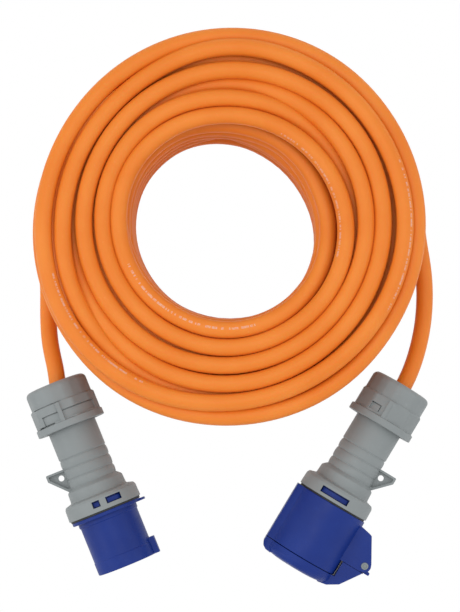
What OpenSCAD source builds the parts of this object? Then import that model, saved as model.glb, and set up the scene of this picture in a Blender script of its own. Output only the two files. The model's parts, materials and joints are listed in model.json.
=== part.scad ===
// Outdoor extension cord with an industrial three-pin plug and a coupler with a hinged lid.
// The cord lies wound into one coil, and both connectors lie in front of it on the floor.
// Each connector is modelled along its own Z, from the gland nut's end (0) to its mouth.
// The connector's own +Y is the side with the lanyard eye, and -Y the side with the key.

/* [Cord] */
// Diameter of the cord's sheath
cord_d = 12; // [10:0.5:13]
// Diameter of one insulated core
core_d = 3.4; // [2.8:0.2:3.6]
// Distance of each core from the middle of the sheath
core_spread = 2.6; // [2.4:0.1:3]

/* [Coil] */
// Outside diameter of the coil
coil_outer_d = 279; // [272:1:290]
// Clear diameter inside the coil
coil_bore_d = 123; // [112:1:128]
// Height of the coil
coil_height = 80; // [74:1:84]
// Radius of the rounded corners of the coil's section
coil_edge_r = 18; // [16:1:22]

/* [Gland nut] */
// Diameter of the nut's cap
nut_cap_d = 44.6; // [44:0.2:46]
// Length of the nut's cap
nut_cap_len = 15; // [14:0.5:18]
// Diameter of the nut's grip ring
nut_ring_d = 47.8; // [47:0.2:48.6]
// Length of the grip ring
nut_ring_len = 13; // [12:0.5:16]
// Diameter of the nut's rim
nut_rim_d = 49.6; // [49.2:0.2:51]
// Length of the rim
nut_rim_len = 5.4; // [4:0.2:7]
// Number of grip ribs round the nut
nut_ribs = 8; // [6:1:12]
// How far the nut and the clamp cage back off the housing
nut_travel = 6; // [4:1:7]
// Outside diameter of the housing's thread
thread_d = 38; // [37:0.2:38.6]

/* [Housing] */
// Diameter of the plain neck
neck_d = 35; // [34:0.2:36]
// Length of the plain neck in front of the nut
neck_len = 20.6; // [18:0.2:26]
// Length of one raised band
band_len = 6.3; // [5:0.1:8]
// How far a band stands up from the neck
band_rise = 0.8; // [0.4:0.1:1.2]
// Number of raised bands
band_count = 3; // [3:1:4]
// Diameter of the shoulder behind the collar
shoulder_d = 41.8; // [41:0.2:44]
// Length from the bands to the collar
shoulder_len = 12.2; // [11:0.2:16]
// Diameter of the collar
collar_d = 53.8; // [53:0.2:54]
// Length of the collar
collar_len = 12.1; // [11.5:0.1:16]
// Wall of the housing
housing_wall = 2.3; // [1.8:0.1:2.6]
// Length of a latch window along the housing
window_len = 4.3; // [3.6:0.1:5]

/* [Lanyard eye] */
// Reach of the eye from the housing's axis
eye_reach = 30.3; // [29:0.1:34]
// Length of the eye's foot along the housing
eye_len = 16.6; // [15:0.1:18]
// Thickness of the eye's rim
eye_t = 6; // [5:0.5:8]
// Thickness of the web inside the rim
eye_web_t = 2.6; // [2:0.2:3.6]
// Diameter of the hole in the eye
eye_hole_d = 4.3; // [3.6:0.1:4.6]

/* [Contacts] */
// Diameter of the live and neutral pins
pin_d = 5; // [4.8:0.1:5.2]
// Diameter of the earth pin
earth_pin_d = 6; // [5.8:0.1:6.2]
// Length of the pins in front of their carrier
pin_len = 32.4; // [28:0.2:34]
// Diameter of the circle through the pins' centres
pin_circle_d = 17.5; // [17:0.1:18.5]
// Diameter of a screw terminal
terminal_d = 7.8; // [7.4:0.1:8.2]
// Length of a screw terminal behind its carrier
terminal_len = 12; // [11:0.5:14]
// Wall of a contact sleeve
sleeve_wall = 1.5; // [1.2:0.1:1.6]

/* [Plug front] */
// Outside diameter of the skirt round the pins
skirt_d = 43; // [42.6:0.1:43.4]
// Wall of the skirt
skirt_wall = 2; // [1.6:0.1:2.4]
// Length of the skirt in front of the flange
skirt_len = 37; // [34:0.2:40]
// Diameter of the flange
flange_d = 50.2; // [49:0.2:52]
// Thickness of the flange
flange_t = 4.4; // [3.6:0.2:6]
// Reach of the flange's pull ear from the axis
ear_reach = 30.2; // [29:0.2:34]
// Width of the polarising key
key_w = 9; // [7:0.5:9.5]
// How far the key stands out of the skirt
key_rise = 3.6; // [3:0.1:3.8]
// Length of the key
key_len = 12.2; // [10:0.2:18]

/* [Coupler shell] */
// How much wider the shell is than the housing's collar
shell_over = 0.2; // [0:0.2:1]
// Length of the shell in front of the housing
shell_len = 43.2; // [42:0.2:46]
// Radial room between the plug's skirt and the shell
skirt_room = 0.9; // [0.6:0.1:1]
// Thickness of the shell's floor
shell_floor_t = 2.4; // [2:0.2:3.4]
// How far the keyway's ridge stands out of the shell
ridge_rise = 1.1; // [0.8:0.1:2.5]
// Width of the keyway's ridge
ridge_w = 22; // [18:1:26]
// Thickness of the hinge tower across the lid's pin
tower_w = 18; // [17:0.5:22]
// Length of the contact carrier in front of the shell's floor
carrier_len = 38.4; // [36:0.2:39]

/* [Lid] */
// Distance of the hinge pin from the shell's side
hinge_out = 15.3; // [14.5:0.1:18]
// Distance of the hinge pin behind the shell's rim
hinge_back = 16.8; // [15.5:0.1:18]
// Diameter of the hinge pin
hinge_pin_d = 4; // [3.4:0.1:4.2]
// How much wider the lid's cap is than the shell
cap_over = 0; // [-0.4:0.1:1]
// Height of the lid's cap
cap_t = 9.8; // [9:0.2:12]
// Wall of the lid's cap
cap_wall = 2.4; // [2:0.1:3]
// Width of the arm between cap and hinge
arm_w = 18; // [14:0.5:20]
// Thickness of the spring wire
spring_d = 1; // [0.8:0.1:1.2]
// Turns of the lid spring
spring_turns = 3; // [2:1:3]

/* [Layout] */
// Place of the plug's nut end, across
plug_x = -123; // [-127:1:-119]
// Place of the plug's nut end, towards the coil
plug_y = 68; // [65:1:71]
// Turn of the plug away from the coil's line
plug_turn = 22; // [16:1:26]
// Place of the coupler's nut end, across
coupler_x = 125; // [121:1:129]
// Place of the coupler's nut end, towards the coil
coupler_y = 66.5; // [63:0.5:69]
// Turn of the coupler towards the plug
coupler_turn = 31; // [26:1:34]

/* [Hidden] */
$fn = 72;
small_fn = 32;
eps = 0.01;

// Clearances
part_gap = 0.3;      // between a moving soft or curved face and its neighbour
slip = 0.1;          // round parts that slide into each other and stay
run_gap = 0.05;      // hinge pin in its bores, and thread in the nut
cord_room = 1.4;     // radial room between the cord and the nut's mouth

// Colours
gray = "#8a8d8e";
dark_gray = "#5f6364";
blue = "#2f4183";
deep_blue = "#27386f";
orange = "#ee8237";
rubber = "#2b2b2c";
brass = "#c9a85c";
steel = "#b9bdc0";

// Lengths along a connector, from the nut's end
mouth_t = 4;
cap_end = nut_cap_len;
ring_end = cap_end + nut_ring_len;
nut_end = ring_end + nut_rim_len;
seat_z = cap_end - 2.4;
cage_flange_t = 3;
thread_start = seat_z + cage_flange_t + 2 * part_gap;
thread_end = nut_end - 3.4;
bands_start = nut_end + neck_len;
bands_end = bands_start + band_count * band_len;
collar_start = bands_end + shoulder_len;
collar_end = collar_start + collar_len;
gasket_t = 0.7;
front_start = collar_end + gasket_t;
window_z = collar_start + collar_len / 2;
sheath_end = nut_end + 11;

// Radii shared by the housing and what fits in it
cord_r = cord_d / 2;
mouth_r = cord_r + cord_room;
nut_bore_r = thread_d / 2 + run_gap;
cage_r = neck_d / 2 - housing_wall - 1.5;
rear_bore_r = cage_r + part_gap;
neck_bore_r = neck_d / 2 - housing_wall;
shoulder_bore_r = shoulder_d / 2 - housing_wall - 0.4;
spigot_r = collar_d / 2 - housing_wall - 0.6;
collar_bore_r = spigot_r + slip;
skirt_bore_r = skirt_d / 2 - skirt_wall;
spigot_start = collar_start + housing_wall + 1;

// Contacts
carrier_back = spigot_start + 2.4;
terminal_start = carrier_back - terminal_len;
wire_bore_r = core_d / 2 + part_gap;
wire_depth = 8;
screw_r = 1.5;
screw_head_r = 2.4;
screw_z = terminal_start + 4;
contact_angles = [30, 150, -90];
root_extra = 0.8;    // thicker root that holds a pin in its carrier
carrier_front = front_start + flange_t;
pin_tip = carrier_front + pin_len;
skirt_end = front_start + flange_t + skirt_len;
contact_r = pin_circle_d / 2;

// Coupler
shell_d = collar_d + shell_over;
ridge_reach = shell_d / 2 + ridge_rise;
shell_end = front_start + shell_len;
shell_floor = front_start + shell_floor_t;
shell_bore_r = skirt_d / 2 + skirt_room;
carrier_r = skirt_bore_r - 0.7;
carrier_end = shell_floor + carrier_len;
face_z = carrier_end - 4.2;
clip_t = 0.5;
keyway_w = key_w + 1.4;
keyway_reach = skirt_d / 2 + key_rise + 0.5;

// Lid and hinge, in the coupler's own Y and Z
hinge_y = shell_d / 2 + hinge_out;
hinge_z = shell_end - hinge_back;
ear_r = 4.6;
ear_t = 3.4;
slot_half = tower_w / 2 - ear_t;
knuckle_r = ear_r - 0.3;
slot_r = knuckle_r + 4.2;
lid_gap = 0.3;
cap_d = shell_d + cap_over;
lid_back = shell_end + lid_gap;
lid_front = lid_back + cap_t;
tower_front = hinge_z + 5.4;
arm_in = cap_d / 2 + 0.6;

// Layout
axis_h = max(shell_d, collar_d, cap_d) / 2;
coil_at = [2, 176, 0];

// Winding of the coil: the outline of its section, followed once by one unbroken cord
outer_r = coil_outer_d / 2 - cord_r;
inner_r = coil_bore_d / 2 + cord_r;
low_z = cord_r;
high_z = coil_height - cord_r;
start_angle = 268;
end_angle = 28;
rings_a_loop = 24;
winding_sides = 6;
least_pitch = cord_d + 0.9;
end_z = low_z + 1.02 * cord_d;
quarter = coil_edge_r * PI / 2;
run_bottom = outer_r - inner_r - coil_edge_r;
run_inside = high_z - low_z - 2 * coil_edge_r;
run_top = outer_r - inner_r - 2 * coil_edge_r;
run_outside = high_z - coil_edge_r - end_z;
run_all = run_bottom + run_inside + run_top + run_outside + 3 * quarter;
part_loop = ((end_angle - start_angle + 720) % 360) / 360;
loops = floor(run_all / least_pitch - part_loop) + part_loop;
winding_rings = round(loops * rings_a_loop);
core_gap = 0.3;

// Free stretches of the cord, from the nut to the coil: points chosen along the floor
plug_route = [[-127, 81, 26], [-130, 93, 22], [-132, 105, 16], [-133.5, 117, 10],
    [-134, 129, 7], [-133, 141, 6]];
coupler_route = [[132, 79, 26], [136, 90, 22], [139.5, 101, 16], [142.5, 112, 10],
    [144, 124, 7], [145, 137, 6], [145, 152, 6], [144, 168, 6], [143, 184, 7],
    [140, 201, 8], [135, 218, 9], [127, 236, 11], [117, 251, 13], [105, 265, 15],
    [93, 276, 16]];
tail_sides = 10;

function unit(v) = v / norm(v);
function tangent(route, i) =
    unit(route[min(i + 1, len(route) - 1)] - route[max(i - 1, 0)]);

// Radius and height of the winding after a run s along the section's outline
function section(s) =
    let (a = run_bottom, b = a + quarter, c = b + run_inside, d = c + quarter,
        e = d + run_top, f = e + quarter, q = coil_edge_r)
    s < a ? [outer_r - s, low_z] :
    s < b ? let (t = -90 - (s - a) / q * 180 / PI)
        [inner_r + q + q * cos(t), low_z + q + q * sin(t)] :
    s < c ? [inner_r, low_z + q + s - b] :
    s < d ? let (t = 180 - (s - c) / q * 180 / PI)
        [inner_r + q + q * cos(t), high_z - q + q * sin(t)] :
    s < e ? [inner_r + q + s - d, high_z] :
    s < f ? let (t = 90 - (s - e) / q * 180 / PI)
        [outer_r - q + q * cos(t), high_z - q + q * sin(t)] :
    [outer_r, high_z - q - (s - f)];

// Point of the winding, where i counts rings; angles run clockwise from +Y
function wound(i) =
    let (p = section(run_all * i / winding_rings),
        w = start_angle + 360 * loops * i / winding_rings)
    coil_at + [p[0] * sin(w), p[0] * cos(w), p[1]];
function heading(w) = [cos(w), -sin(w), 0];

winding_middle = [for (i = [0:winding_rings]) wound(i)];
winding_first = winding_middle[0] - cord_d * heading(start_angle);
winding_last = winding_middle[winding_rings] + cord_d * heading(end_angle);
winding = concat([winding_first], winding_middle, [winding_last]);

// Least gap between turns; rings of different turns lie at the same angles
winding_gap = min([for (i = [0:winding_rings - rings_a_loop])
    for (j = [i + rings_a_loop:rings_a_loop:winding_rings])
        norm(winding_middle[i] - winding_middle[j])]) * cos(180 / rings_a_loop) - cord_d;
echo(str("coil loops ", loops, ", least gap ", winding_gap, " mm"));

function plug_way(z) = [plug_x + z * sin(plug_turn), plug_y - z * cos(plug_turn), axis_h];
function coupler_way(z) =
    [coupler_x - z * sin(coupler_turn), coupler_y - z * cos(coupler_turn), axis_h];

plug_tail_route = concat([plug_way(mouth_t), plug_way(-2)], plug_route,
    [winding_first - 8 * heading(start_angle), winding_first]);
coupler_tail_route = concat([coupler_way(mouth_t), coupler_way(-2)], coupler_route,
    [winding_last + 6 * heading(end_angle), winding_last]);

module at_plug() {
    translate([plug_x, plug_y, axis_h]) rotate([90, -90, plug_turn]) children();
}

module at_coupler() {
    translate([coupler_x, coupler_y, axis_h]) rotate([90, 90, -coupler_turn]) children();
}

// A round bar swept along a route, with flat ends square to it
module sweep(route, radius, sides, ref = [0, 0, 1], turn = 0) {
    n = len(route);
    points = [for (i = [0:n - 1])
        let (t = tangent(route, i), side = unit(cross(t, ref)), up = cross(side, t))
        for (k = [0:sides - 1])
            let (a = turn + 360 * k / sides)
            route[i] + radius * (cos(a) * side + sin(a) * up)];
    walls = [for (i = [0:n - 2]) for (k = [0:sides - 1])
        let (a = i * sides + k, b = i * sides + (k + 1) % sides)
        for (f = [[a, b, b + sides], [a, b + sides, a + sides]]) f];
    e = (n - 1) * sides;
    ends = [for (k = [1:sides - 2]) for (f = [[0, k + 1, k], [e, e + k, e + k + 1]]) f];
    polyhedron(points = points, faces = concat(walls, ends), convexity = 10);
}

// A turned piece: its outline holds [radius, z] points
module turned(outline) {
    rotate_extrude() polygon(outline);
}

module tube(r_out, r_in, z0, z1) {
    turned([[r_in, z0], [r_out, z0], [r_out, z1], [r_in, z1]]);
}

// Half a turn of points round [r, z], for a rounded edge
function arc(r, z, radius, from, to, steps = 4) =
    [for (i = [0:steps]) let (a = from + (to - from) * i / steps)
        [r + radius * cos(a), z + radius * sin(a)]];

// ---- cord ----

module coil() {
    color(orange) {
        sweep(winding, cord_r, winding_sides, turn = 90);
        coil_core();
    }
}

// The turns that lie inside the pile, as one plain ring
module coil_core() {
    in = inner_r + cord_r + core_gap;
    // the winding's straight sides cut in between its rings
    out = outer_r * cos(180 / rings_a_loop) - cord_r - core_gap;
    low = low_z + cord_r + core_gap;
    high = high_z - cord_r - core_gap;
    q = coil_edge_r - cord_r - core_gap;
    translate(coil_at) turned(concat(
        arc(out - q, low + q, q, -90, 0), arc(out - q, high - q, q, 0, 90),
        arc(in + q, high - q, q, 90, 180), arc(in + q, low + q, q, 180, 270)));
}

module plug_tail() {
    color(orange) sweep(plug_tail_route, cord_r, tail_sides);
}

module coupler_tail() {
    color(orange) sweep(coupler_tail_route, cord_r, tail_sides);
}

// ---- pieces that both connectors share ----

module gland_nut() {
    edge = 5;
    cap_r = nut_cap_d / 2;
    difference() {
        union() {
            turned(concat([[mouth_r, 0], [mouth_r + 3, 0]],
                arc(cap_r - edge, edge + 1.2, edge, -90, 0),
                [[cap_r, cap_end - 0.8], [nut_ring_d / 2, cap_end], [nut_ring_d / 2, ring_end],
                    [nut_rim_d / 2, ring_end + 0.6], [nut_rim_d / 2, nut_end],
                    [nut_bore_r, nut_end], [nut_bore_r, seat_z], [cage_r + 1.4, seat_z],
                    [mouth_r + 1, mouth_t], [mouth_r, mouth_t]]));
            for (i = [0:nut_ribs - 1]) rotate(360 / nut_ribs * i)
                translate([nut_ring_d / 2 - 1, -1.2, cap_end])
                cube([1 + (nut_rim_d - nut_ring_d) / 2 - 0.2, 2.4, nut_ring_len + 1]);
        }
    }
}

// Radius of the cone inside the nut that presses the fingers
function cone_r(z) = mouth_r + 1 + (cage_r + 0.4 - mouth_r) * (z - mouth_t) / (seat_z - mouth_t);
function seal_r() = cage_r - 3;

// Spring fingers that the nut presses on the seal
module clamp_cage() {
    finger_start = mouth_t + 5.6;
    flange_z = seat_z + part_gap;
    difference() {
        turned([[seal_r() + part_gap, finger_start],
            [cone_r(finger_start) - part_gap, finger_start],
            [cone_r(seat_z) - part_gap, seat_z], [cone_r(seat_z) - part_gap, flange_z],
            [thread_d / 2 - 1, flange_z], [thread_d / 2 - 1, flange_z + cage_flange_t],
            [cage_r, flange_z + cage_flange_t], [cage_r, nut_end - 4],
            [seal_r() + part_gap, nut_end - 4]]);
        for (i = [0:2]) rotate(60 * i)
            translate([-cage_r - 4, -0.8, finger_start - 1])
            cube([2 * cage_r + 8, 1.6, flange_z - finger_start]);
    }
}

module gland_seal() {
    tube(seal_r(), cord_r, mouth_t + 3.8, nut_end - 6);
}

module sheath() {
    translate([0, 0, mouth_t]) cylinder(r = cord_r, h = sheath_end - mouth_t);
}

// Outline of one raised band as seen from the side
function band(z) = [[neck_d / 2, z + 0.2], [neck_d / 2 + band_rise * 0.7, z + band_len * 0.2],
    [neck_d / 2 + band_rise, z + band_len * 0.5],
    [neck_d / 2 + band_rise * 0.7, z + band_len * 0.8], [neck_d / 2, z + band_len - 0.2]];

module housing_body() {
    neck_r = neck_d / 2;
    shoulder_r = shoulder_d / 2;
    collar_r = collar_d / 2;
    turned(concat([[thread_d / 2 - 1, thread_start], [thread_d / 2, thread_start + 1],
            [thread_d / 2, thread_end], [neck_r, thread_end + 0.8]],
        [for (i = [0:band_count - 1]) for (p = band(bands_start + i * band_len)) p],
        [[neck_r, bands_end + 0.8]],
        arc(shoulder_r - 2, bands_end + 4, 2, -60, 0),
        [[shoulder_r, collar_start - 2.6], [shoulder_r - 0.6, collar_start - 1],
            [shoulder_r - 0.4, collar_start], [collar_r - 2, collar_start + 1.2],
            [collar_r, collar_start + 2.6], [collar_r, collar_end],
            [collar_bore_r, collar_end], [collar_bore_r, collar_start + housing_wall + 0.8],
            [shoulder_bore_r, collar_start + housing_wall + 0.8],
            [shoulder_bore_r, bands_end + 6], [neck_bore_r, bands_end + 2],
            [neck_bore_r, nut_end - 1], [rear_bore_r, nut_end - 2.4],
            [rear_bore_r, thread_start]]));
}

// Triangular eye for a lanyard: a web inside a raised rim
module lanyard_eye() {
    root = neck_d / 2 - 0.6;
    z0 = bands_start + 5.7;
    z1 = z0 + eye_len;
    tip = 4.7;
    rim = 1.5;
    outline = [[root, z0], [eye_reach, z0], [eye_reach, z0 + tip], [root + 2, z1], [root, z1]];
    inside = [[root, z0 + rim], [eye_reach - rim, z0 + rim],
        [eye_reach - rim, z0 + tip - 0.7], [root + 2, z1 - 1.5 * rim], [root, z1 - 1.5 * rim]];
    rotate([90, 0, 90]) difference() {
        union() {
            translate([0, 0, -eye_t / 2]) linear_extrude(eye_t) difference() {
                polygon(outline);
                polygon(inside);
            }
            translate([0, 0, -eye_web_t / 2]) linear_extrude(eye_web_t) polygon(outline);
        }
        translate([eye_hole_y(), eye_hole_z(), -eye_t])
            cylinder(d = eye_hole_d, h = 2 * eye_t, $fn = small_fn);
    }
}

function eye_hole_y() = neck_d / 2 + 3.2;
function eye_hole_z() = bands_start + 11.1;

// Latch windows: a list of [middle across, width], on the top and the underside
module windows(list, grow = 0) {
    for (w = list) for (side = [-1, 1])
        translate([side > 0 ? spigot_r - 3 : -spigot_r - 5, w[0] - w[1] / 2 - grow,
            window_z - window_len / 2 - grow])
            cube([8, w[1] + 2 * grow, window_len + 2 * grow]);
}

module housing(list) {
    difference() {
        union() {
            housing_body();
            difference() {
                lanyard_eye();
                cylinder(r = neck_bore_r + 1, h = collar_end);
            }
        }
        windows(list);
    }
}

// The spigot's latches, which show in the windows
module latches(list) {
    intersection() {
        windows(list, -0.2);
        tube(spigot_r + 1.4, spigot_r - 1.2, spigot_start, collar_end);
    }
}

module flange_gasket() {
    tube(collar_d / 2 - 0.6, spigot_r + slip, collar_end, front_start);
}

// The screw terminal behind a contact: a barrel with a wire bore and a screw hole
module terminal(angle) {
    difference() {
        translate([0, 0, terminal_start]) cylinder(d = terminal_d, h = terminal_len);
        translate([0, 0, terminal_start - 1]) cylinder(r = wire_bore_r, h = wire_depth + 1,
            $fn = small_fn);
        rotate(angle) translate([0, 0, screw_z]) rotate([0, 90, 0])
            cylinder(r = screw_r + run_gap, h = terminal_d, $fn = small_fn);
    }
}

module at_contact(angle) {
    translate([contact_r * cos(angle), contact_r * sin(angle), 0]) children();
}

module terminal_screws() {
    for (angle = contact_angles) at_contact(angle) rotate(angle)
        translate([core_d / 2 + 0.2, 0, screw_z]) rotate([0, 90, 0]) difference() {
            union() {
                cylinder(r = screw_r, h = terminal_d / 2 + 0.4, $fn = small_fn);
                translate([0, 0, terminal_d / 2 - core_d / 2 + 0.1])
                    cylinder(r = screw_head_r, h = 1.4, $fn = small_fn);
            }
            translate([-4, -0.3, terminal_d / 2 + 0.3]) cube([8, 0.6, 4]);
        }
}

// One insulated core, from the end of the sheath into its terminal
module core(angle) {
    c = [cos(angle), sin(angle), 0];
    near = core_spread * c;
    far = contact_r * c;
    z0 = sheath_end;
    z1 = terminal_start + wire_depth - 1;
    bend = z1 - wire_depth - z0 - 4;
    steps = 6;
    sweep(concat([near + [0, 0, z0], near + [0, 0, z0 + 3]],
        [for (i = [1:steps - 1]) let (t = i / steps)
            near + (far - near) * (1 - cos(180 * t)) / 2 + [0, 0, z0 + 3 + bend * t]],
        [far + [0, 0, z1 - wire_depth], far + [0, 0, z1]]), core_d / 2, 8, ref = [1, 0, 0.1]);
}

// ---- plug ----

plug_windows = [[4, 5.2], [-8.9, 10]];

module plug_front() {
    r = skirt_d / 2;
    lip = skirt_end - 8.4;
    color(blue) union() {
        turned([[skirt_bore_r, spigot_start], [spigot_r, spigot_start], [spigot_r, front_start],
            [flange_d / 2, front_start], [flange_d / 2, carrier_front - 0.6],
            [r + 1.2, carrier_front], [r + 1.2, carrier_front + 3], [r, carrier_front + 3.6],
            [r, lip], [r + 0.3, lip + 0.3], [r + 0.3, skirt_end], [skirt_bore_r, skirt_end],
            [skirt_bore_r, carrier_front + 2], [skirt_bore_r - 1.6, carrier_front + 2],
            [skirt_bore_r - 1.6, carrier_front + slip], [skirt_bore_r, carrier_front + slip]]);
        latches(plug_windows);
        // pull ear on the key's side
        translate([0, 0, front_start + 0.4]) linear_extrude(flange_t - 1.4)
            polygon([[-9, -r], [-4, -ear_reach], [4, -ear_reach], [9, -r]]);
        translate([-key_w / 2, -r - key_rise, skirt_end - key_len])
            cube([key_w, key_rise + skirt_wall / 2, key_len]);
    }
}

module plug_carrier() {
    color(dark_gray) difference() {
        translate([0, 0, carrier_back])
            cylinder(r = skirt_bore_r - slip, h = carrier_front - carrier_back);
        for (angle = contact_angles) at_contact(angle) {
            translate([0, 0, carrier_back - 1]) cylinder(d = terminal_d - 1, h = 7);
            translate([0, 0, carrier_back]) cylinder(h = carrier_front,
                d = (angle < 0 ? earth_pin_d : pin_d) + root_extra + 0.1, $fn = small_fn);
        }
    }
}

module contact_pin(d, angle) {
    round = d / 2 - 0.6;
    color(brass) at_contact(angle) union() {
        terminal(angle);
        translate([0, 0, carrier_back - eps]) cylinder(d = terminal_d - 1.2, h = 5.8);
        translate([0, 0, carrier_back]) cylinder(d = d + root_extra,
            h = carrier_front - carrier_back, $fn = small_fn);
        translate([0, 0, carrier_back]) turned(concat([[0, 0], [d / 2, 0]],
            arc(d / 2 - round, pin_tip - carrier_back - round, round, 0, 90),
            [[0, pin_tip - carrier_back]]));
    }
}

// ---- coupler ----

coupler_windows = [[0, 21]];

// Outline of the hinge tower in [y, z]
function tower_outline() = concat([[shell_d / 2 - 4, front_start + 2.4],
        [shell_d / 2, front_start + 2.8], [hinge_y - 5.6, front_start + 4],
        [hinge_y + 2.4, hinge_z - 6]],
    arc(hinge_y, hinge_z, ear_r, -20, 90, 6),
    [[hinge_y, tower_front], [shell_d / 2 - 4, tower_front]]);

module coupler_shell() {
    r = shell_d / 2;
    color(blue) difference() {
        union() {
            turned([[carrier_r + slip, spigot_start], [spigot_r, spigot_start],
                [spigot_r, front_start], [r, front_start], [r, shell_end],
                [shell_bore_r, shell_end], [shell_bore_r, shell_floor],
                [carrier_r + slip, shell_floor]]);
            latches(coupler_windows);
            difference() {
                translate([-ridge_w / 2, -ridge_reach, front_start])
                    cube([ridge_w, ridge_reach - shell_bore_r + 4, shell_len]);
                translate([0, 0, front_start - 1]) cylinder(r = shell_bore_r, h = shell_len + 2);
            }
            rotate([90, 0, 90]) translate([0, 0, -tower_w / 2]) linear_extrude(tower_w)
                polygon(tower_outline());
        }
        // keyway for the plug's key
        translate([-keyway_w / 2, -keyway_reach, shell_floor])
            cube([keyway_w, keyway_reach - shell_bore_r + 2, shell_len]);
        // slot for the lid's knuckle, and the bore for its pin
        translate([-slot_half, hinge_y, hinge_z]) rotate([0, 90, 0])
            cylinder(r = slot_r, h = 2 * slot_half);
        translate([-tower_w, hinge_y, hinge_z]) rotate([0, 90, 0])
            cylinder(d = hinge_pin_d + 2 * run_gap, h = 2 * tower_w, $fn = small_fn);
    }
}

// The contact carrier, with a straight hole for each contact
module coupler_carrier() {
    color(dark_gray) difference() {
        translate([0, 0, carrier_back]) cylinder(r = carrier_r, h = face_z - carrier_back);
        for (angle = contact_angles) at_contact(angle) translate([0, 0, carrier_back - 1])
            cylinder(d = socket_hole_d(angle), h = face_z - carrier_back + 2);
    }
}

// The plate in front of the contacts
module coupler_face() {
    color(dark_gray) difference() {
        translate([0, 0, face_z]) cylinder(r = carrier_r, h = carrier_end - face_z);
        for (angle = contact_angles) at_contact(angle) translate([0, 0, face_z - 1])
            cylinder(d = (angle < 0 ? earth_pin_d : pin_d) + 0.8, h = carrier_end - face_z + 2,
                $fn = small_fn);
    }
}

function socket_hole_d(angle) =
    (angle < 0 ? earth_pin_d : pin_d) + 2 * sleeve_wall + 2 * clip_t + 0.4;

module socket(d, angle) {
    color(brass) at_contact(angle) {
        terminal(angle);
        translate([0, 0, carrier_back - eps])
            cylinder(d = socket_hole_d(angle) - slip, h = 3 + eps);
        difference() {
            translate([0, 0, carrier_back + 2]) cylinder(d = d + 2 * sleeve_wall,
                h = face_z - slip - carrier_back - 2);
            translate([0, 0, carrier_back + 6]) cylinder(d = d + 0.1, h = carrier_end,
                $fn = small_fn);
        }
    }
}

// Spring clips that press the sleeves on the pins
module coupler_clips() {
    color(steel) for (angle = contact_angles) at_contact(angle) {
        r = (angle < 0 ? earth_pin_d : pin_d) / 2 + sleeve_wall;
        tube(r + clip_t, r, face_z - 9, face_z - 3);
    }
}

module lid() {
    r = cap_d / 2;
    seat = 3.4;
    color(blue) union() {
        difference() {
            union() {
                translate([0, 0, lid_back]) turned(concat([[0, 0], [r, 0]],
                    arc(r - 5, cap_t - 5.6, 5, 0, 80), [[r - 9, cap_t - 0.2], [0, cap_t]]));
                translate([-ridge_w / 2 - 0.6, -ridge_reach - 0.4, lid_back])
                    cube([ridge_w + 1.2, ridge_reach - 12, cap_t - 5.6]);
            }
            translate([0, 0, lid_back - 1]) cylinder(r = r - cap_wall, h = seat + 1);
        }
        lid_arm();
        lid_knuckle();
    }
}

// Arm from the cap over the shell's edge to the hinge
module lid_arm() {
    rotate([90, 0, 90]) translate([0, 0, -arm_w / 2]) linear_extrude(arm_w)
        polygon([[arm_in, tower_front + 0.6], [hinge_y + 1.4, tower_front + 0.6],
            [cap_d / 2 + 5.8, lid_back + cap_t * 0.42], [cap_d / 2 - 2, lid_front - 1.6],
            [cap_d / 2 - 6, lid_front - 1.6], [cap_d / 2 - 1, lid_back], [arm_in, lid_back - 0.1]]);
}

module lid_knuckle() {
    left = -slot_half + part_gap;
    right = 1.2;
    difference() {
        union() {
            translate([left, hinge_y, hinge_z]) rotate([0, 90, 0])
                cylinder(r = knuckle_r, h = right - left);
            translate([left, hinge_y - knuckle_r, hinge_z])
                cube([right - left, 2 * knuckle_r - 1.4, tower_front + 0.7 - hinge_z]);
            // short stop tab beside the pin
            translate([left, hinge_y + 1, hinge_z + 2.6]) cube([right - left, 5.8, 1.6]);
        }
        translate([left - 1, hinge_y, hinge_z]) rotate([0, 90, 0])
            cylinder(d = hinge_pin_d + 2 * run_gap, h = right - left + 2, $fn = small_fn);
    }
}

module lid_gasket() {
    color(rubber) tube(cap_d / 2 - cap_wall - slip, shell_bore_r - 2, lid_back + 0.2, lid_back + 3.4);
}

module hinge_pin() {
    head = 0.9;
    color(steel) translate([-tower_w / 2 - head, hinge_y, hinge_z]) rotate([0, 90, 0]) {
        cylinder(d = hinge_pin_d, h = tower_w + 2 * head, $fn = small_fn);
        cylinder(d = hinge_pin_d + 1.3, h = head, $fn = small_fn);
        translate([0, 0, tower_w + head]) cylinder(d = hinge_pin_d + 1.3, h = head, $fn = small_fn);
    }
}

// Torsion spring round the pin, with a leg on the tower and a leg on the lid's arm
module lid_spring() {
    r = hinge_pin_d / 2 + spring_d / 2 + 0.4;
    x0 = 1.2 + part_gap + spring_d / 2;
    lead = (slot_half - part_gap - spring_d / 2 - x0) / spring_turns;
    steps = 12;
    n = spring_turns * steps;
    turns = [for (i = [0:n]) let (a = 360 * i / steps)
        [x0 + lead * i / steps, hinge_y + r * cos(a), hinge_z + r * sin(a)]];
    color(steel) sweep(concat([[x0, hinge_y + r, hinge_z - 3]], turns,
        [[x0 + lead * spring_turns, hinge_y + r, hinge_z + 4.6]]), spring_d / 2, 6,
        ref = [1, 0, 0]);
}

coil();
plug_tail();
coupler_tail();

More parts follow.
